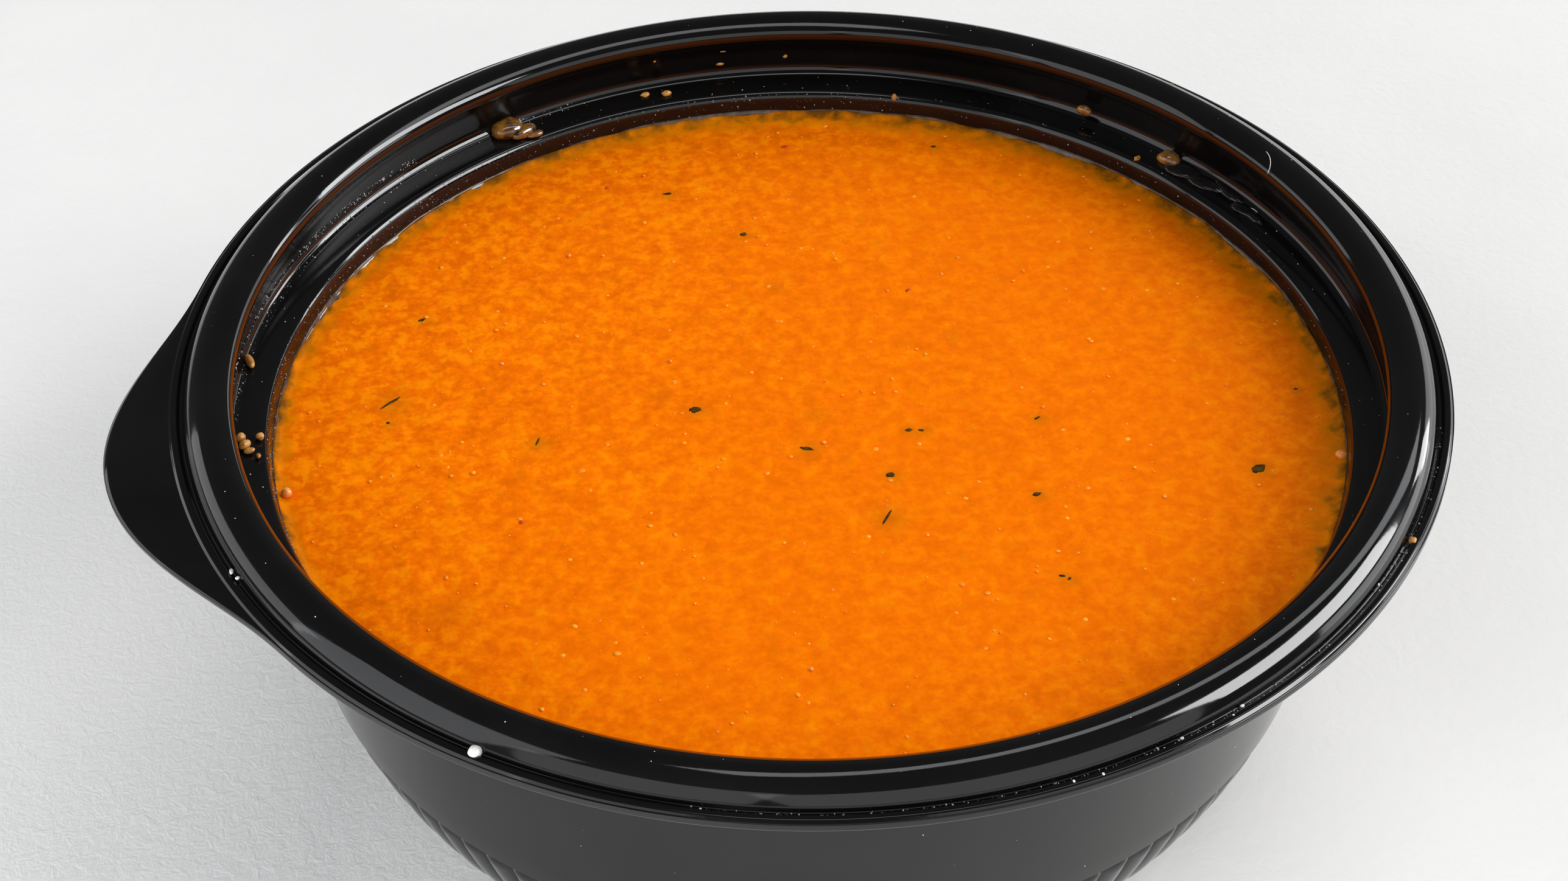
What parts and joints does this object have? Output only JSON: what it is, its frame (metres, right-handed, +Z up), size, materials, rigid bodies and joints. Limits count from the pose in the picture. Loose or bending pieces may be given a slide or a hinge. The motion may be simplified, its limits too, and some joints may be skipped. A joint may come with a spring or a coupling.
{
  "type": "tomato soup",
  "caption": "Smooth orange-red tomato soup with herb flecks, filled to just below the ledge of a round black take-away bowl with a rounded rim, one finger tab and a reeded lower wall.",
  "frame": {"origin": "centre of the bowl's underside, on its axis, where it stands on the table", "axes": "+Z up along the bowl's axis; the finger tab points along -X; +Y completes the right-handed frame"},
  "size_m": [0.1897, 0.181, 0.0625],
  "materials": {
    "black_plastic": "glossy moulded polypropylene, near black",
    "soup": "wet, opaque orange-red puree"
  },
  "bodies": {
    "root": {"bowl": "black_plastic", "soup": "soup"}
  },
  "joints": []
}
